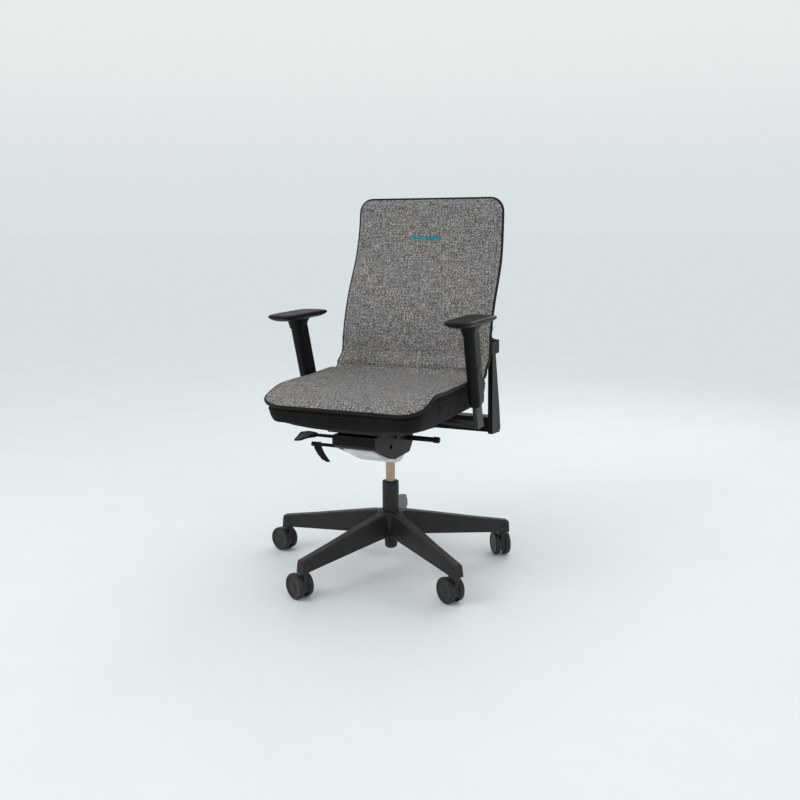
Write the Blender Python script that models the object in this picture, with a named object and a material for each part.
"""Office swivel chair with a quilted overlay pad laid over its seat and back.

Metres, +Z up. The sitter faces -Y and the sitter's left is +X. Every part is drawn about the gas column's
axis, which stands at (COLUMN_X, COLUMN_Y), so that the origin is the middle of the whole chair's footprint.
"""

import math

import bmesh
import bpy
from mathutils import Matrix, Vector

GAP = 0.0003  # between pieces that rest on each other

# The column axis, seen from the middle of the chair's footprint
COLUMN_X = 0.0490
COLUMN_Y = -0.0100
FLOOR = -0.0100  # all heights below are counted from 10 mm above the floor

# Five-leg base
LEGS = 5
FIRST_LEG_DEG = 36.0
LEG_STEP_DEG = 72.0
LEG_REACH = 0.375
STEM_REACH = 0.358
TIP_TOP, TIP_BOTTOM = 0.108, 0.073
HUB_TOP, HUB_BOTTOM = 0.168, 0.092
HUB_RADIUS = 0.040
BOSS_RADIUS = 0.0165

# Twin-wheel casters, one trail direction for each leg
WHEEL_RADIUS = 0.0375
WHEEL_WIDTH = 0.017
AXLE_HEIGHT = FLOOR + WHEEL_RADIUS
HOOD_WIDTH = 0.014
WHEEL_GAP = 0.0005
TRAIL = 0.024
TRAIL_DEG = (126.0, 155.0, 164.0, 156.0, 148.0)
STEM_RADIUS = 0.0055
AXLE_RADIUS = 0.003

# Gas spring
TUBE_RADIUS, TUBE_WALL = 0.025, 0.0024
TUBE_TOP, TUBE_BOTTOM = 0.259, 0.051
TAPER_TOP = 0.165
TAPER_RADIUS = 0.0185
CYLINDER_RADIUS = 0.014
CYLINDER_BOTTOM, CYLINDER_TOP = 0.136, 0.385
ROD_RADIUS = 0.005

# Tilt mechanism
HOUSING_HALF = 0.066
HOUSING_WALL = 0.005
RECLINE_PIVOT = (0.042, 0.412)  # y, z
SEAT_PIVOT = (0.125, 0.432)
SLIDE_PIN = (-0.0875, 0.430)
PIVOT_RADIUS = 0.006
PIN_RADIUS = 0.005
LEVER_ROD_RADIUS = 0.005
HEIGHT_LEVER = (-0.150, 0.418)
TILT_LEVER = (-0.180, 0.3988)
ROCKER_PIVOT = (-0.070, 0.392)
ROCKER_BOTTOM = 0.3895
TENSION_ROD = (-0.016, 0.402)
TENSION_RADIUS = 0.0075
WINDOW = (-0.138, 0.400)
WINDOW_RADIUS = 0.0075

# Seat
SEAT_HALF = 0.238
SEAT_FRONT, SEAT_REAR = -0.318, 0.212
SEAT_BOW = 0.022
SEAT_TAPER = 0.010  # how much narrower each side is at the front
SHELL_TOP = 0.490
CUSHION_TOP = 0.560
PAD_THICK = 0.012
PAD_SPARE = 0.010  # how far the overlay reaches past the cushions

# Back, as (height, front face) down the sitter's side of the overlay
BACK_LINE = (
    (0.588, 0.1735),
    (0.620, 0.1760),
    (0.650, 0.1820),
    (0.700, 0.1920),
    (0.750, 0.2090),
    (0.800, 0.2300),
    (0.850, 0.2560),
    (0.900, 0.2820),
    (0.950, 0.2990),
    (1.000, 0.3095),
    (1.050, 0.3155),
    (1.100, 0.3180),
)
BACK_HALF_LOW, BACK_HALF_TOP = 0.251, 0.246
BACK_DEPTH_LOW, BACK_DEPTH_TOP = 0.050, 0.027
BACK_SHELL_THICK = 0.008
BACK_SHELL_CORNER = 0.034
UPRIGHT_HALF_IN, UPRIGHT_HALF_OUT = 0.224, 0.239
YOKE_TIP = 0.012  # the uprights' depth at their tops
STRAP_LOW, STRAP_HIGH = 0.628, 0.668
STRAP_THICK = 0.002

# Arms
ARM_FOOT = (0.270, 0.020, 0.480)
ARM_HEAD = (0.273, -0.057, 0.742)
SLEEVE_HALF = (0.017, 0.031)
SLEEVE_BOTTOM, SLEEVE_TOP = 0.034, 0.255  # along the post from its foot
POST_HALF = (0.0065, 0.026)
ARMPAD_LENGTH, ARMPAD_WIDTH, ARMPAD_THICK = 0.250, 0.088, 0.020
ARMPAD_TOP = 0.767
BUTTON_ALONG = 0.145

FINISHES = {
    "black_nylon": ((0.018, 0.018, 0.019), 0.5, 0.0),
    "black_plastic": ((0.022, 0.022, 0.023), 0.45, 0.0),
    "caster_black": ((0.020, 0.020, 0.021), 0.38, 0.0),
    "black_fabric": ((0.020, 0.020, 0.021), 0.95, 0.0),
    "grey_tweed": ((0.21, 0.20, 0.19), 0.95, 0.0),
    "black_webbing": ((0.02, 0.02, 0.02), 0.9, 0.0),
    "armpad_foam": ((0.035, 0.035, 0.037), 0.55, 0.0),
    "bronze_steel": ((0.42, 0.33, 0.24), 0.3, 1.0),
    "bright_steel": ((0.60, 0.60, 0.61), 0.3, 1.0),
    "black_steel": ((0.03, 0.03, 0.03), 0.4, 0.6),
    "grey_cover": ((0.35, 0.35, 0.37), 0.45, 0.0),
}


def clear_scene():
    for obj in list(bpy.data.objects):
        bpy.data.objects.remove(obj, do_unlink=True)


def finish_material(name):
    found = bpy.data.materials.get(name)
    if found:
        return found
    colour, roughness, metallic = FINISHES[name]
    material = bpy.data.materials.new(name)
    material.use_nodes = True
    shader = material.node_tree.nodes["Principled BSDF"]
    shader.inputs["Base Color"].default_value = (*colour, 1.0)
    shader.inputs["Roughness"].default_value = roughness
    shader.inputs["Metallic"].default_value = metallic
    return material


def add_column_frame():
    """The empty that every part hangs on, on the column's axis, 10 mm above the floor."""
    empty = bpy.data.objects.new("column_axis", None)
    empty.location = (COLUMN_X, COLUMN_Y, -FLOOR)
    bpy.context.scene.collection.objects.link(empty)
    return empty


def place(name, bm, finish, origin=(0.0, 0.0, 0.0)):
    """One named object whose origin is at the given point, with its shape drawn about the column's axis."""
    bmesh.ops.translate(bm, verts=bm.verts, vec=-Vector(origin))
    bmesh.ops.recalc_face_normals(bm, faces=bm.faces)
    mesh = bpy.data.meshes.new(name)
    bm.to_mesh(mesh)
    bm.free()
    mesh.materials.append(finish_material(finish))
    mesh.shade_smooth()
    mesh.set_sharp_from_angle(angle=math.radians(35))
    obj = bpy.data.objects.new(name, mesh)
    obj.location = origin
    obj.parent = bpy.data.objects["column_axis"]
    bpy.context.scene.collection.objects.link(obj)
    return obj


def combine(obj, bm, operation):
    """A Boolean with a hidden helper drawn about the column's axis."""
    helper = place(f"{obj.name}_{operation.lower()}_{len(obj.modifiers)}", bm, "black_steel")
    helper.hide_render = True
    helper.display_type = "WIRE"
    modifier = obj.modifiers.new(operation.title(), "BOOLEAN")
    modifier.operation = operation
    modifier.solver = "EXACT"
    modifier.object = helper


def cut(obj, bm):
    combine(obj, bm, "DIFFERENCE")


def join(obj, bm):
    combine(obj, bm, "UNION")


def loft(rings):
    """A closed body through rings of the same number of points, with a cap on each end."""
    bm = bmesh.new()
    rows = [[bm.verts.new(point) for point in ring] for ring in rings]
    for low, high in zip(rows, rows[1:]):
        for i in range(len(low)):
            j = (i + 1) % len(low)
            bm.faces.new((low[i], low[j], high[j], high[i]))
    bm.faces.new(rows[0][::-1])
    bm.faces.new(rows[-1])
    bmesh.ops.recalc_face_normals(bm, faces=bm.faces)
    return bm


def prism(outline, axis, low, high):
    """An outline of two coordinates, in X, Y, Z order, carried along the third axis."""
    rings = []
    for level in (low, high):
        ring = []
        for pair in outline:
            point = list(pair)
            point.insert(axis, level)
            ring.append(point)
        rings.append(ring)
    return loft(rings)


def box(low, high):
    outline = [(low[0], low[1]), (high[0], low[1]), (high[0], high[1]), (low[0], high[1])]
    return prism(outline, 2, low[2], high[2])


def lathe(profile, steps=24):
    """Turned about Z from (radius, height) points: solid from axis to axis, and otherwise a ring."""
    bm = bmesh.new()
    rows = []
    for radius, height in profile:
        if radius == 0.0:
            rows.append([bm.verts.new((0.0, 0.0, height))] * steps)
            continue
        turns = [math.tau * i / steps for i in range(steps)]
        rows.append([bm.verts.new((radius * math.cos(t), radius * math.sin(t), height)) for t in turns])
    pairs = list(zip(rows, rows[1:]))
    if profile[0][0] > 0.0:
        pairs.append((rows[-1], rows[0]))
    for low, high in pairs:
        for i in range(steps):
            j = (i + 1) % steps
            bm.faces.new(list(dict.fromkeys((low[i], low[j], high[j], high[i]))))
    bmesh.ops.recalc_face_normals(bm, faces=bm.faces)
    return bm


def along_x(bm, y, z, x=0.0):
    """Turns a body's Z axis onto X and moves it to (x, y, z)."""
    turn = Matrix.Translation((x, y, z)) @ Matrix.Rotation(math.radians(90), 4, "Y")
    bmesh.ops.transform(bm, matrix=turn, verts=bm.verts)
    return bm


def rod_x(x_low, x_high, y, z, radius, steps=16):
    profile = ((0.0, x_low), (radius, x_low), (radius, x_high), (0.0, x_high))
    return along_x(lathe(profile, steps), y, z)


def soften(bm, width, segments=2, angle_deg=40.0):
    """Rounds the edges that are sharper than an angle."""
    edges = [e for e in bm.edges if e.is_manifold and e.calc_face_angle() > math.radians(angle_deg)]
    bmesh.ops.bevel(
        bm, geom=edges, offset=width, segments=segments, profile=0.5, affect="EDGES", clamp_overlap=True
    )
    return bm


def rounded_outline(half_x, half_y, radius, steps=4):
    """A rectangle about the origin with arcs for corners."""
    points = []
    for corner, (sx, sy) in enumerate(((1, 1), (-1, 1), (-1, -1), (1, -1))):
        for i in range(steps + 1):
            turn = math.radians(90 * corner + 90 * i / steps)
            x = sx * (half_x - radius) + radius * math.cos(turn)
            y = sy * (half_y - radius) + radius * math.sin(turn)
            points.append((x, y))
    return points


def between(table, level):
    """Linear interpolation in a table of (level, value)."""
    for (low, a), (high, b) in zip(table, table[1:]):
        if level <= high:
            return a + (b - a) * max(0.0, level - low) / (high - low)
    return table[-1][1]


def leg_points(index):
    return math.radians(FIRST_LEG_DEG + LEG_STEP_DEG * index)


def make_leg(angle):
    """One tapered leg: a narrow flat top, drafted sides and an almost level underside."""
    stations = (
        # reach, top, bottom, half width at the top, half width at the bottom
        (0.012, 0.1675, 0.0960, 0.0150, 0.0240),
        (0.060, 0.1640, 0.0940, 0.0125, 0.0220),
        (0.150, 0.1480, 0.0880, 0.0110, 0.0200),
        (0.260, 0.1275, 0.0805, 0.0100, 0.0180),
        (LEG_REACH - 0.004, TIP_TOP + 0.0005, TIP_BOTTOM, 0.0095, 0.0165),
        (LEG_REACH, TIP_TOP - 0.0035, TIP_BOTTOM, 0.0070, 0.0140),
    )
    rings = []
    for reach, top, bottom, half_top, half_bottom in stations:
        shoulder = top - 0.004
        rings.append(
            [
                (reach, -half_bottom, bottom),
                (reach, half_bottom, bottom),
                (reach, half_top + 0.003, shoulder),
                (reach, half_top, top),
                (reach, -half_top, top),
                (reach, -half_top - 0.003, shoulder),
            ]
        )
    bm = loft(rings)
    bmesh.ops.rotate(bm, verts=bm.verts, cent=(0, 0, 0), matrix=Matrix.Rotation(angle, 3, "Z"))
    return bm


def tube_radius_at(height):
    share = (height - TUBE_BOTTOM) / (TAPER_TOP - TUBE_BOTTOM)
    return TAPER_RADIUS + (TUBE_RADIUS - TAPER_RADIUS) * min(1.0, share)


def make_base():
    hub = lathe(
        (
            (0.0, HUB_BOTTOM),
            (HUB_RADIUS - 0.010, HUB_BOTTOM),
            (HUB_RADIUS, HUB_BOTTOM + 0.012),
            (HUB_RADIUS + 0.002, HUB_TOP - 0.008),
            (HUB_RADIUS - 0.004, HUB_TOP),
            (0.0, HUB_TOP),
        ),
        30,
    )
    base = place("star_base", hub, "black_nylon")
    bore = (
        (0.0, HUB_BOTTOM - 0.02),
        (tube_radius_at(HUB_BOTTOM - 0.02) + GAP, HUB_BOTTOM - 0.02),
        (TUBE_RADIUS + GAP, TAPER_TOP),
        (TUBE_RADIUS + GAP, HUB_TOP + 0.02),
        (0.0, HUB_TOP + 0.02),
    )
    for i in range(LEGS):
        join(base, make_leg(leg_points(i)))
        boss = lathe(
            (
                (0.0, TIP_BOTTOM),
                (BOSS_RADIUS, TIP_BOTTOM),
                (BOSS_RADIUS, TIP_TOP - 0.012),
                (0.0, TIP_TOP - 0.012),
            ),
            16,
        )
        stem = Vector((STEM_REACH * math.cos(leg_points(i)), STEM_REACH * math.sin(leg_points(i)), 0))
        bmesh.ops.translate(boss, verts=boss.verts, vec=stem)
        join(base, boss)
    cut(base, lathe(bore, 30))
    for i in range(LEGS):
        socket = lathe(
            (
                (0.0, TIP_BOTTOM - 0.01),
                (STEM_RADIUS + GAP, TIP_BOTTOM - 0.01),
                (STEM_RADIUS + GAP, TIP_TOP - 0.010),
                (0.0, TIP_TOP - 0.010),
            ),
            12,
        )
        stem = Vector((STEM_REACH * math.cos(leg_points(i)), STEM_REACH * math.sin(leg_points(i)), 0))
        bmesh.ops.translate(socket, verts=socket.verts, vec=stem)
        cut(base, socket)


def caster_frame(index):
    """The stem's foot on the floor, and the turn that points +X along the trail."""
    leg = leg_points(index)
    foot = Vector((STEM_REACH * math.cos(leg), STEM_REACH * math.sin(leg), 0.0))
    return foot, Matrix.Rotation(math.radians(TRAIL_DEG[index]), 4, "Z")


def make_hood(index):
    """The bracket between the two wheels, with the neck that carries the stem."""
    foot, turn = caster_frame(index)
    half = HOOD_WIDTH / 2
    reach = 0.0325
    arc = [math.radians(-70 + 250 * i / 12) for i in range(13)]
    outline = [(TRAIL + reach * math.cos(a), AXLE_HEIGHT + reach * math.sin(a)) for a in arc]
    outline.append((TRAIL - reach, AXLE_HEIGHT - 0.014))
    outline.append((TRAIL - reach + 0.007, AXLE_HEIGHT - 0.016))
    outline.append((TRAIL - 0.010, AXLE_HEIGHT - 0.009))
    outline.append((TRAIL + 0.002, AXLE_HEIGHT - 0.012))
    disc = prepared(prism(outline, 1, -half, half), foot, turn)
    hood = place(f"caster_{index + 1}_hood", disc, "caster_black", foot)
    neck = lathe(((0.0, 0.0648), (0.0115, 0.0648), (0.0115, 0.0702), (0.0100, 0.0712), (0.0, 0.0712)), 16)
    join(hood, prepared(neck, foot, turn))
    join(hood, prepared(box((-0.0068, -half, 0.040), (0.006, half, 0.0665)), foot, turn))
    shank = ((0.0, 0.060), (STEM_RADIUS, 0.060), (STEM_RADIUS, 0.0955), (0.0045, 0.0970), (0.0, 0.0970))
    stem = lathe(shank, 12)
    join(hood, prepared(stem, foot, turn))
    cut(hood, prepared(rod_y(AXLE_RADIUS + GAP, half + 0.01, TRAIL), foot, turn))


def rod_y(radius, half, x):
    bm = lathe(((0.0, -half), (radius, -half), (radius, half), (0.0, half)), 12)
    turn = Matrix.Translation((x, 0.0, AXLE_HEIGHT)) @ Matrix.Rotation(math.radians(-90), 4, "X")
    bmesh.ops.transform(bm, matrix=turn, verts=bm.verts)
    return bm


def prepared(bm, foot, turn):
    bmesh.ops.transform(bm, matrix=Matrix.Translation(foot) @ turn, verts=bm.verts)
    return bm


def make_wheel(index, side, name):
    """One dished wheel of a pair, with a blind hole for the axle on its inner side."""
    foot, turn = caster_frame(index)
    inner = HOOD_WIDTH / 2 + WHEEL_GAP
    outer = inner + WHEEL_WIDTH
    hole = AXLE_RADIUS + GAP
    profile = (
        (0.0, outer - 0.0030),
        (hole, outer - 0.0030),
        (hole, inner),
        (WHEEL_RADIUS - 0.0050, inner),
        (WHEEL_RADIUS - 0.0015, inner + 0.0008),
        (WHEEL_RADIUS, inner + 0.0030),
        (WHEEL_RADIUS, outer - 0.0036),
        (WHEEL_RADIUS - 0.0015, outer - 0.0008),
        (WHEEL_RADIUS - 0.0055, outer),
        (WHEEL_RADIUS - 0.0070, outer - 0.0008),
        (0.0, outer - 0.0004),
    )
    bm = lathe(profile, 20)
    tilt = Matrix.Translation((TRAIL, 0.0, AXLE_HEIGHT)) @ Matrix.Rotation(math.radians(-90 * side), 4, "X")
    bmesh.ops.transform(bm, matrix=tilt, verts=bm.verts)
    centre = foot + turn @ Vector((TRAIL, 0.0, AXLE_HEIGHT))
    place(name, prepared(bm, foot, turn), "caster_black", centre)


def make_casters():
    for i in range(LEGS):
        make_hood(i)
        foot, turn = caster_frame(i)
        half = HOOD_WIDTH / 2 + WHEEL_GAP + WHEEL_WIDTH - 0.0040
        axle = prepared(rod_y(AXLE_RADIUS, half, TRAIL), foot, turn)
        place(f"caster_{i + 1}_axle", axle, "bright_steel", foot)
        make_wheel(i, 1, f"caster_{i + 1}_wheel_a")
        make_wheel(i, -1, f"caster_{i + 1}_wheel_b")


def make_column():
    inner = TUBE_RADIUS - TUBE_WALL
    tube = (
        (ROD_RADIUS + 0.001, TUBE_BOTTOM),
        (TAPER_RADIUS - 0.003, TUBE_BOTTOM),
        (tube_radius_at(TUBE_BOTTOM + 0.004), TUBE_BOTTOM + 0.004),
        (TUBE_RADIUS, TAPER_TOP),
        (TUBE_RADIUS, TUBE_TOP - 0.0015),
        (TUBE_RADIUS - 0.0010, TUBE_TOP),
        (inner, TUBE_TOP),
        (inner, TAPER_TOP + 0.004),
        (TAPER_RADIUS - TUBE_WALL, TUBE_BOTTOM + 0.011),
        (ROD_RADIUS + 0.001, TUBE_BOTTOM + 0.011),
    )
    place("column_tube", lathe(tube, 28), "black_steel")
    bush_in = CYLINDER_RADIUS + GAP
    bush_out = inner - GAP
    bush = (
        (bush_in, 0.180),
        (bush_out, 0.180),
        (bush_out, TUBE_TOP - 0.0010),
        (bush_out - 0.003, TUBE_TOP + 0.0010),
        (bush_in, TUBE_TOP + 0.0010),
    )
    place("column_bush", lathe(bush, 24), "black_plastic")
    bearing_floor = TUBE_BOTTOM + 0.011 + GAP
    bearing = (
        (ROD_RADIUS + 0.0006, bearing_floor),
        (0.0120, bearing_floor),
        (0.0120, bearing_floor + 0.006),
        (ROD_RADIUS + 0.0006, bearing_floor + 0.006),
    )
    place("thrust_bearing", lathe(bearing, 20), "bright_steel")
    collar = bearing_floor + 0.006 + GAP
    rod = (
        (0.0, 0.0460),
        (0.0035, 0.0460),
        (0.0035, 0.0500),
        (ROD_RADIUS, 0.0505),
        (ROD_RADIUS, collar),
        (0.0110, collar),
        (0.0110, collar + 0.003),
        (ROD_RADIUS, collar + 0.003),
        (ROD_RADIUS, 0.2060),
        (0.0115, 0.2060),
        (0.0115, 0.2160),
        (0.0, 0.2160),
    )
    place("piston_rod", lathe(rod, 16), "bright_steel")
    clip = ((0.0038, 0.0470), (0.0095, 0.0470), (0.0095, 0.0490), (0.0038, 0.0490))
    place("retaining_clip", lathe(clip, 16), "bright_steel")


def make_cylinder():
    cylinder = (
        (ROD_RADIUS + 0.0004, CYLINDER_BOTTOM),
        (CYLINDER_RADIUS - 0.001, CYLINDER_BOTTOM),
        (CYLINDER_RADIUS, CYLINDER_BOTTOM + 0.001),
        (CYLINDER_RADIUS, 0.330),
        (CYLINDER_RADIUS - 0.001, CYLINDER_TOP),
        (0.0037, CYLINDER_TOP),
        (0.0037, CYLINDER_TOP - 0.023),
        (0.0, CYLINDER_TOP - 0.023),
    )
    body = place("gas_cylinder", lathe(((0.0, CYLINDER_BOTTOM), *cylinder[1:]), 24), "bronze_steel")
    chamber = (
        (0.0, CYLINDER_BOTTOM - 0.005),
        (ROD_RADIUS + 0.0004, CYLINDER_BOTTOM - 0.005),
        (ROD_RADIUS + 0.0004, CYLINDER_BOTTOM + 0.010),
        (0.0119, CYLINDER_BOTTOM + 0.010),
        (0.0119, 0.285),
        (0.0, 0.285),
    )
    cut(body, lathe(chamber, 20))
    pin = ((0.0, 0.3680), (0.0033, 0.3680), (0.0033, 0.3880), (0.0025, 0.3890), (0.0, 0.3890))
    place("release_pin", lathe(pin, 12), "bright_steel")


def housing_outline(inset=0.0):
    return (
        (-0.245 + inset, 0.447 + inset * 4),
        (-0.245 + inset, 0.420),
        (-0.236 + inset, 0.412 + inset),
        (-0.112, 0.358 + inset),
        (-0.006, 0.358 + inset),
        (0.020 - inset, 0.386),
        (0.020 - inset, 0.435 + inset * 4),
    )


def make_housing():
    """An open tray with a socket for the gas spring, a recline lug and a round window in one cheek."""
    tray = prism(housing_outline(), 0, -HOUSING_HALF, HOUSING_HALF)
    housing = place("mechanism_housing", tray, "black_plastic")
    inner = HOUSING_HALF - HOUSING_WALL
    cut(housing, prism(housing_outline(HOUSING_WALL), 0, -inner, inner))
    socket = ((0.0, 0.340), (0.0225, 0.340), (0.0225, 0.383), (0.0, 0.383))
    join(housing, lathe(socket, 20))
    join(housing, box((-0.038, 0.014, 0.396), (0.038, 0.052, 0.428)))
    fulcrum_y, fulcrum_top = ROCKER_PIVOT[0], ROCKER_BOTTOM - GAP
    join(housing, box((-0.036, fulcrum_y - 0.003, 0.360), (-0.004, fulcrum_y + 0.003, fulcrum_top)))
    bore = CYLINDER_RADIUS + GAP
    cut(housing, lathe(((0.0, 0.330), (bore, 0.330), (bore, 0.400), (0.0, 0.400)), 20))
    cut(housing, rod_x(-0.09, 0.09, *RECLINE_PIVOT, PIVOT_RADIUS + GAP))
    cut(housing, rod_x(-0.09, 0.09, *SLIDE_PIN, PIN_RADIUS + GAP))
    cut(housing, rod_x(-0.09, -0.02, *TILT_LEVER, LEVER_ROD_RADIUS + GAP))
    cut(housing, rod_x(-0.09, -0.02, *HEIGHT_LEVER, LEVER_ROD_RADIUS + GAP))
    cut(housing, rod_x(0.02, 0.09, *TENSION_ROD, TENSION_RADIUS + GAP))
    cut(housing, rod_x(inner - 0.002, HOUSING_HALF + 0.01, *WINDOW, WINDOW_RADIUS))


def make_underside_cover():
    """The pale shell under the housing, curved from front to back, with a hole for the gas spring."""
    roof = [(y, z - GAP) for y, z in ((-0.216, 0.4033), (-0.112, 0.3580), (0.004, 0.3580))]
    belly = [
        (0.004, 0.3480),
        (-0.012, 0.3350),
        (-0.035, 0.3315),
        (-0.065, 0.3350),
        (-0.100, 0.3445),
        (-0.140, 0.3610),
        (-0.180, 0.3805),
        (-0.216, 0.3990),
    ]
    cover = place("underside_cover", prism(roof + belly, 0, -0.046, 0.046), "grey_cover")
    hole = 0.0245
    cut(cover, lathe(((0.0, 0.300), (hole, 0.300), (hole, 0.370), (0.0, 0.370)), 20))


def make_pivots():
    for name, half, centre, radius in (
        ("recline_shaft", 0.0575, RECLINE_PIVOT, PIVOT_RADIUS),
        ("seat_shaft", HOUSING_HALF + 0.0095, SEAT_PIVOT, PIVOT_RADIUS),
        ("slide_pin", HOUSING_HALF + 0.0100, SLIDE_PIN, PIN_RADIUS),
    ):
        place(name, rod_x(-half, half, *centre, radius), "bright_steel", (0, *centre))


def make_recline_spring():
    """The compression spring inside the housing that holds the back up."""
    turns, radius, wire = 6, 0.0115, 0.0018
    low, high, height = -0.175, -0.093, 0.406
    steps, sides = 10, 5
    bm = bmesh.new()
    rows = []
    for i in range(turns * steps + 1):
        angle = math.tau * i / steps
        out = Vector((math.cos(angle), 0.0, math.sin(angle)))
        centre = Vector((0.0, low + (high - low) * i / (turns * steps), height)) + radius * out
        row = []
        for k in range(sides):
            turn = math.tau * k / sides
            row.append(bm.verts.new(centre + wire * (out * math.cos(turn) + Vector((0, math.sin(turn), 0)))))
        rows.append(row)
    for a, b in zip(rows, rows[1:]):
        for k in range(sides):
            n = (k + 1) % sides
            bm.faces.new((a[k], a[n], b[n], b[k]))
    bm.faces.new(rows[0][::-1])
    bm.faces.new(rows[-1])
    place("recline_spring", bm, "bright_steel", (0.0, low, height))


def blade_ring(x, y, z, half_x, half_y, lean):
    """Four corners across a lever's blade, the outer side raised by lean."""
    return [
        (x - half_x, y - half_y, z),
        (x + half_x, y - half_y, z + lean),
        (x + half_x, y + half_y, z + lean),
        (x - half_x, y + half_y, z),
    ]


def paddle_ring(x, y_front, y_rear, z_front, z_rear, half):
    """Four corners across the height lever's flat paddle."""
    return [
        (x, y_front, z_front - half),
        (x, y_rear, z_rear - half),
        (x, y_rear, z_rear + half),
        (x, y_front, z_front + half),
    ]


def make_levers():
    """The seat-height lever with its rocker on the gas spring's pin, and the tilt lever with its blade."""
    y, z = HEIGHT_LEVER
    shaft = rod_x(-0.180, -0.036, y, z, LEVER_ROD_RADIUS, 12)
    lever = place("height_lever", shaft, "black_plastic", (0, y, z))
    paddle = loft(
        [
            paddle_ring(-0.168, y - 0.007, y + 0.007, z, z, 0.0055),
            paddle_ring(-0.184, y - 0.022, y + 0.012, z - 0.003, z + 0.003, 0.0035),
            paddle_ring(-0.202, y - 0.036, y + 0.014, z - 0.010, z + 0.004, 0.0028),
            paddle_ring(-0.226, y - 0.030, y + 0.010, z - 0.014, z + 0.001, 0.0022),
        ]
    )
    join(lever, paddle)
    join(lever, box((-0.044, y - 0.018, z - 0.0025), (-0.034, y, z + 0.0035)))
    over_lever = box((-0.046, y - 0.024, z + 0.0065), (-0.030, y + 0.033, z + 0.0095))
    rocker = place("release_rocker", over_lever, "bright_steel", (0.0, *ROCKER_PIVOT))
    plan = (
        (-0.046, -0.130),
        (-0.030, -0.130),
        (0.006, -0.020),
        (0.006, 0.007),
        (-0.006, 0.007),
        (-0.010, -0.012),
    )
    join(rocker, prism(plan, 2, ROCKER_BOTTOM, ROCKER_BOTTOM + 0.005))
    join(rocker, box((-0.046, -0.130, 0.3900), (-0.030, -0.1215, z + 0.0080)))
    y, z = TILT_LEVER
    shaft = rod_x(-0.164, -0.040, y, z, LEVER_ROD_RADIUS, 12)
    tilt = place("tilt_lever", shaft, "black_plastic", (0, y, z))
    blade = loft(
        [
            blade_ring(-0.150, y, z + 0.004, 0.0110, 0.003, 0.0040),
            blade_ring(-0.145, y - 0.003, z - 0.012, 0.0110, 0.003, 0.0040),
            blade_ring(-0.134, y - 0.006, z - 0.028, 0.0100, 0.003, 0.0040),
            blade_ring(-0.120, y - 0.009, z - 0.041, 0.0085, 0.003, 0.0035),
            blade_ring(-0.108, y - 0.010, z - 0.0475, 0.0050, 0.002, 0.0020),
        ]
    )
    join(tilt, blade)
    join(tilt, rod_x(-0.166, -0.152, y, z, LEVER_ROD_RADIUS + 0.002, 12))


def make_tension_rod():
    y, z = TENSION_ROD
    profile = (
        (0.0, 0.034),
        (TENSION_RADIUS, 0.034),
        (TENSION_RADIUS, 0.146),
        (TENSION_RADIUS + 0.0018, 0.148),
        (TENSION_RADIUS + 0.0018, 0.163),
        (TENSION_RADIUS - 0.001, 0.166),
        (0.0, 0.166),
    )
    place("tension_rod", along_x(lathe(profile, 20), y, z), "black_plastic", (0, y, z))


def seat_outline(half, front, rear, radius):
    """The seat from above: tapered to the front, with rounded corners and a bowed front edge."""
    middle = (front + rear) / 2
    points = rounded_outline(half, (rear - front) / 2, radius)
    left_end = points.index(min(points, key=lambda p: (round(p[1], 6), p[0])))
    right_x = -points[left_end][0]
    front_line = [(-right_x + 2 * right_x * k / 8, points[left_end][1]) for k in range(1, 8)]
    points[left_end + 1 : left_end + 1] = front_line
    shaped = []
    for x, y in points:
        share = max(0.0, -y) / (middle - front)
        bow = SEAT_BOW * share**8 * (1 - (x / half) ** 2)
        shaped.append((x * (1 - SEAT_TAPER / half * share), y + middle - bow))
    return shaped


def seat_ring(z, inset, radius, half=SEAT_HALF, front=SEAT_FRONT, rear=SEAT_REAR):
    return [(x, y, z) for x, y in seat_outline(half - inset, front + inset, rear - inset, radius)]


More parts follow.
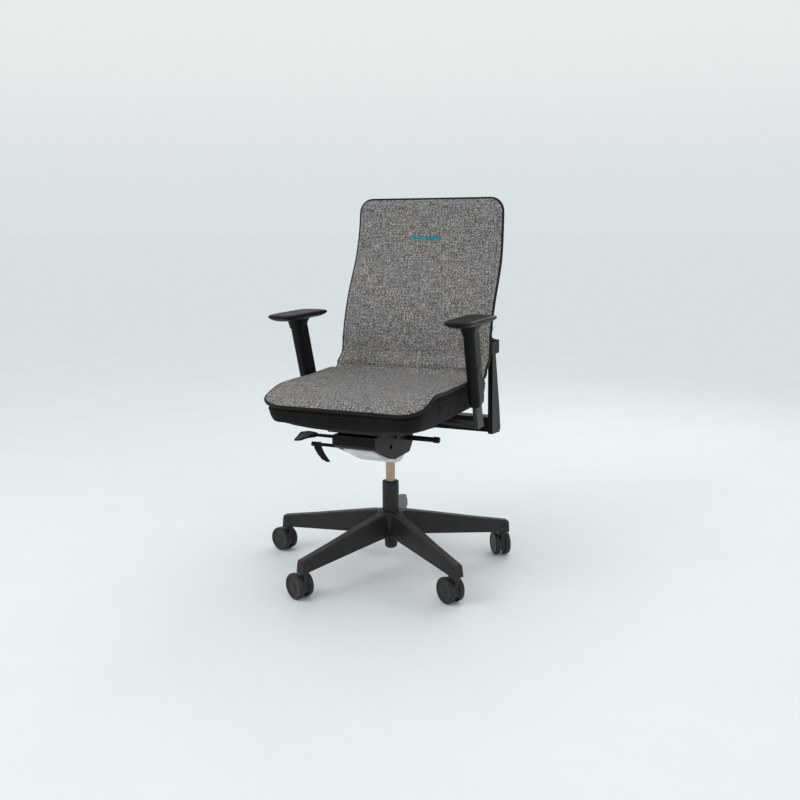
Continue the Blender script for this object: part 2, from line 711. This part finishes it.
def make_seat():
    carrier = box((-0.085, -0.235, 0.452), (0.085, 0.165, 0.456))
    plate = place("seat_carrier", carrier, "black_steel", (0, *SEAT_PIVOT))
    for side in (-1, 1):
        x0, x1 = sorted((side * (HOUSING_HALF + 0.0015), side * (HOUSING_HALF + 0.0065)))
        y, z = SEAT_PIVOT
        join(plate, box((x0, y - 0.014, z - 0.012), (x1, y + 0.014, 0.454)))
        y, z = SLIDE_PIN
        join(plate, box((x0, y - 0.022, z - 0.012), (x1, y + 0.022, 0.454)))
    cut(plate, rod_x(-0.09, 0.09, *SEAT_PIVOT, PIVOT_RADIUS + GAP))
    y, z = SLIDE_PIN
    cut(plate, box((-0.09, y - 0.0135, z - PIN_RADIUS - 0.001), (0.09, y + 0.0085, z + PIN_RADIUS + 0.001)))
    shell = loft(
        [
            seat_ring(0.4563, 0.110, 0.040),
            seat_ring(0.4660, 0.060, 0.050),
            seat_ring(0.4770, 0.030, 0.050),
            seat_ring(SHELL_TOP, 0.014, 0.045),
        ]
    )
    place("seat_shell", shell, "black_plastic", (0, *SEAT_PIVOT))
    cushion = loft(
        [
            seat_ring(SHELL_TOP + GAP, 0.012, 0.040),
            seat_ring(SHELL_TOP + 0.014, 0.004, 0.040),
            seat_ring(CUSHION_TOP - 0.014, 0.0, 0.040),
            seat_ring(CUSHION_TOP - 0.004, 0.004, 0.040),
            seat_ring(CUSHION_TOP, 0.014, 0.034),
        ]
    )
    place("seat_cushion", cushion, "black_fabric", (0, *SEAT_PIVOT))
    half, front, rear = SEAT_HALF + PAD_SPARE, SEAT_FRONT - PAD_SPARE, 0.170
    overlay = loft(
        [
            seat_ring(CUSHION_TOP + GAP, 0.003, 0.045, half, front, rear),
            seat_ring(CUSHION_TOP + 0.004, 0.0, 0.045, half, front, rear),
            seat_ring(CUSHION_TOP + PAD_THICK - 0.004, 0.0, 0.045, half, front, rear),
            seat_ring(CUSHION_TOP + PAD_THICK, 0.004, 0.042, half, front, rear),
        ]
    )
    place("overlay_seat", overlay, "grey_tweed", (0, *SEAT_PIVOT))


def back_half(height):
    low, top = BACK_LINE[0][0], BACK_LINE[-1][0]
    share = (height - low) / (top - low)
    return BACK_HALF_LOW + (BACK_HALF_TOP - BACK_HALF_LOW) * max(0.0, share) ** 1.5


def back_slab(front, depth, inset, low, high, corner):
    """A slab that follows the back's curve: rings from bottom to top, with the top corners rounded."""
    levels = [low] + [h for h, _ in BACK_LINE if low + 0.008 < h < high - 0.03]
    levels += [high - corner * (1 - math.sin(math.radians(a))) for a in (0, 30, 60, 80)] + [high]
    rings = []
    for level in sorted(set(round(v, 5) for v in levels)):
        rise = max(0.0, level - (high - corner)) / corner
        pull = corner * (1 - math.sqrt(max(0.0, 1 - rise * rise))) * 0.55
        half = back_half(level) - inset - pull
        y0 = between(BACK_LINE, level) + front
        y1 = y0 + depth(level)
        edge = min(0.006, (y1 - y0) * 0.35)
        rings.append(
            [
                (-half, y0 + edge, level),
                (-half + edge, y0, level),
                (half - edge, y0, level),
                (half, y0 + edge, level),
                (half, y1 - edge, level),
                (half - edge, y1, level),
                (-half + edge, y1, level),
                (-half, y1 - edge, level),
            ]
        )
    return loft(rings)


def cushion_depth(level):
    low, top = BACK_LINE[0][0], BACK_LINE[-1][0]
    share = (level - low) / (top - low)
    return BACK_DEPTH_LOW + (BACK_DEPTH_TOP - BACK_DEPTH_LOW) * share


def make_back():
    low, top = BACK_LINE[0][0], BACK_LINE[-1][0]
    overlay = back_slab(0.0, lambda level: PAD_THICK, 0.0, low, top + 0.008, 0.035)
    place("overlay_back", overlay, "grey_tweed", (0, *RECLINE_PIVOT))
    cushion = back_slab(PAD_THICK + GAP, cushion_depth, PAD_SPARE, low + 0.002, top, 0.035)
    place("back_cushion", cushion, "black_fabric", (0, *RECLINE_PIVOT))
    rings = []
    shell_top = top - 0.012
    arc = [shell_top - BACK_SHELL_CORNER * (1 - math.sin(math.radians(a))) for a in (0, 25, 50, 70, 90)]
    levels = [low + 0.010] + [h for h, _ in BACK_LINE[1:-1] if h < arc[0] - 0.005] + arc
    for level in levels:
        rise = max(0.0, level - arc[0]) / BACK_SHELL_CORNER
        pull = BACK_SHELL_CORNER * (1 - math.sqrt(max(0.0, 1 - rise * rise)))
        half = back_half(level) - PAD_SPARE - 0.006 - pull
        y0 = between(BACK_LINE, level) + PAD_THICK + cushion_depth(level) + 2 * GAP
        y1 = y0 + BACK_SHELL_THICK
        slim = half - 0.006
        rings.append([(-half, y0, level), (half, y0, level), (slim, y1, level), (-slim, y1, level)])
    place("back_shell", loft(rings), "black_plastic", (0, *RECLINE_PIVOT))


def shell_rear(level):
    return between(BACK_LINE, level) + PAD_THICK + cushion_depth(level) + 2 * GAP + BACK_SHELL_THICK


def make_back_frame():
    """The yoke: a crossbar behind the seat, an upright at each side and a tongue to the recline shaft."""
    crossbar = box((-0.230, 0.286, 0.368), (0.230, 0.328, 0.416))
    frame = place("back_frame", crossbar, "black_plastic", (0, *RECLINE_PIVOT))
    top = 0.668
    upright = (
        (0.252, 0.370),
        (0.322, 0.364),
        (0.332, 0.374),
        (0.318, 0.450),
        (shell_rear(top) + YOKE_TIP, top),
        (shell_rear(top) + GAP, top),
        (shell_rear(0.640) + GAP, 0.640),
        (shell_rear(0.610) + GAP, 0.610),
        (0.246, 0.560),
        (0.248, 0.450),
    )
    for side in (-1, 1):
        x0, x1 = sorted((side * UPRIGHT_HALF_IN, side * UPRIGHT_HALF_OUT))
        join(frame, prism(upright, 0, x0, x1))
    y, z = RECLINE_PIVOT
    py, pz = SEAT_PIVOT
    tongue = (
        (0.066, 0.398),
        (0.310, 0.374),
        (0.310, 0.410),
        (py + 0.012, pz + 0.012),
        (py - 0.010, pz + 0.012),
        (0.066, 0.426),
    )
    join(frame, prism(tongue, 0, -0.056, 0.056))
    arm = (
        (y - 0.009, z - 0.009),
        (y, z - 0.012),
        (0.080, 0.397),
        (0.080, 0.428),
        (y, z + 0.012),
        (y - 0.009, z + 0.009),
    )
    for side in (-1, 1):
        x0, x1 = sorted((side * 0.0390, side * 0.0560))
        join(frame, prism(arm, 0, x0, x1))
    cut(frame, rod_x(-0.09, 0.09, y, z, PIVOT_RADIUS + GAP))
    cut(frame, rod_x(-0.09, 0.09, py, pz, PIVOT_RADIUS + GAP))


def make_strap():
    """The elastic band that holds the overlay to the back, passed round the uprights, and its buckle."""
    half = back_half(STRAP_LOW) + GAP
    front = between(BACK_LINE, STRAP_HIGH) + 0.004
    rear = shell_rear(STRAP_HIGH) + YOKE_TIP + 0.010
    turn = 0.012
    outer = [(half + STRAP_THICK, front)]
    inner = [(half, front)]
    for i in range(7):
        a = math.radians(90 * i / 6)
        cx, cy = half - turn, rear - turn
        outer.append((cx + (turn + STRAP_THICK) * math.cos(a), cy + (turn + STRAP_THICK) * math.sin(a)))
        inner.append((cx + turn * math.cos(a), cy + turn * math.sin(a)))
    right = outer
    left = [(-x, y) for x, y in reversed(outer)]
    back = [(-x, y) for x, y in inner]
    fore = list(reversed(inner))
    strap = prism(right + left + back + fore, 2, STRAP_LOW, STRAP_HIGH)
    place("overlay_strap", strap, "black_webbing", (0, *RECLINE_PIVOT))
    y0 = rear + STRAP_THICK + GAP
    buckle = soften(box((0.196, y0, STRAP_LOW - 0.002), (0.232, y0 + 0.008, STRAP_HIGH + 0.002)), 0.002)
    place("strap_buckle", buckle, "black_plastic", (0, *RECLINE_PIVOT))


def arm_axes(side):
    """The foot of the post, its upward direction, and the turn that points local Z along it."""
    foot = Vector((side * ARM_FOOT[0], ARM_FOOT[1], ARM_FOOT[2]))
    head = Vector((side * ARM_HEAD[0], ARM_HEAD[1], ARM_HEAD[2]))
    up = (head - foot).normalized()
    across = Vector((0, 1, 0)).cross(up).normalized()
    fore = up.cross(across)
    turn = Matrix((across, fore, up)).transposed().to_4x4()
    return foot, up, Matrix.Translation(foot) @ turn


def ring_at(outline, level, matrix):
    return [matrix @ Vector((x, y, level)) for x, y in outline]


def button_ring(side, x, scale, matrix):
    outline = ellipse(0.0120 * scale, 0.0140 * scale, 20)
    return [matrix @ Vector((side * x, y, BUTTON_ALONG + z)) for y, z in outline]


def make_arm(side, word):
    """The fixed bracket, the sleeve that slides up it, and the oval height button on its outer side."""
    foot, up, matrix = arm_axes(side)
    sx, sy = SLEEVE_HALF
    px, py = POST_HALF
    levels = (-0.036, 0.180)
    post = place(
        f"arm_bracket_{word}",
        loft([ring_at(rounded_outline(px, py, 0.004, 2), level, matrix) for level in levels]),
        "black_steel",
        foot,
    )
    shelf = (
        (side * 0.2765, 0.4390),
        (side * 0.2765, 0.4500),
        (side * 0.0880, 0.4560),
        (side * 0.0880, 0.4500),
    )
    join(post, prism(shelf, 1, 0.004, 0.056))
    sleeve_levels = ((SLEEVE_BOTTOM, 0.90), (SLEEVE_BOTTOM + 0.014, 1.0), (SLEEVE_TOP, 1.0))
    rings = [ring_at(rounded_outline(sx * k, sy * k, 0.014 * k), level, matrix) for level, k in sleeve_levels]
    sleeve = place(f"arm_sleeve_{word}", loft(rings), "black_plastic", foot + up * SLEEVE_BOTTOM)
    hollow = rounded_outline(px + 0.0008, py + 0.0008, 0.0045, 2)
    cut(sleeve, loft([ring_at(hollow, level, matrix) for level in (-0.02, SLEEVE_TOP - 0.010)]))
    hole = [button_ring(side, x, 1.04, matrix) for x in (sx - 0.0065, sx + 0.010)]
    cut(sleeve, loft(hole))
    knob = ((sx - 0.0030, 1.0), (sx + 0.0008, 1.0), (sx + 0.0018, 0.88))
    centre = matrix @ Vector((side * sx, 0.0, BUTTON_ALONG))
    button = loft([button_ring(side, x, k, matrix) for x, k in knob])
    place(f"arm_button_{word}", button, "black_nylon", centre)
    make_armpad(side, word)


def ellipse(half_a, half_b, steps):
    turns = [math.tau * i / steps for i in range(steps)]
    return [(half_a * math.cos(t), half_b * math.sin(t)) for t in turns]


def pad_ring(scale_x, scale_y, z, side):
    """A rounded rectangle about the pad's centre, narrower at its front end."""
    half_x, half_y = ARMPAD_WIDTH / 2 * scale_x, ARMPAD_LENGTH / 2 * scale_y
    points = []
    for x, y in rounded_outline(half_x, half_y, min(half_x, 0.030) * 0.95, 6):
        slim = 1.0 - 0.12 * max(0.0, -y) / half_y
        points.append((side * ARM_HEAD[0] + x * slim, ARM_HEAD[1] + y, z))
    return points


def make_armpad(side, word):
    """The domed pad and the flared collar that carries it."""
    top = ARMPAD_TOP
    levels = (
        (0.62, 0.80, top - ARMPAD_THICK),
        (0.90, 0.95, top - ARMPAD_THICK * 0.55),
        (1.00, 1.00, top - ARMPAD_THICK * 0.30),
        (0.97, 0.99, top - ARMPAD_THICK * 0.14),
        (0.80, 0.92, top),
    )
    pad = loft([pad_ring(a, b, z, side) for a, b, z in levels])
    place(f"armpad_{word}", pad, "armpad_foam", (side * ARM_HEAD[0], ARM_HEAD[1], top - ARMPAD_THICK))
    foot, up, matrix = arm_axes(side)
    under = top - ARMPAD_THICK - GAP
    sx, sy = SLEEVE_HALF
    rings = []
    for rise, k in ((GAP, 1.06), (0.005, 1.12)):
        rings.append(ring_at(rounded_outline(sx * k, sy * k, 0.014 * k), SLEEVE_TOP + rise, matrix))
    flat = []
    for x, y in rounded_outline(sx * 1.42, sy * 1.42, 0.022, 4):
        p = matrix @ Vector((x, y, SLEEVE_TOP + 0.010))
        flat.append((p.x, p.y, under))
    rings.append(flat)
    place(f"armpad_collar_{word}", loft(rings), "black_plastic", foot + up * SLEEVE_TOP)


def main():
    clear_scene()
    add_column_frame()
    make_base()
    make_casters()
    make_column()
    make_cylinder()
    make_housing()
    make_underside_cover()
    make_pivots()
    make_recline_spring()
    make_levers()
    make_tension_rod()
    make_seat()
    make_back()
    make_back_frame()
    make_strap()
    for side, word in ((1, "left"), (-1, "right")):
        make_arm(side, word)


main()
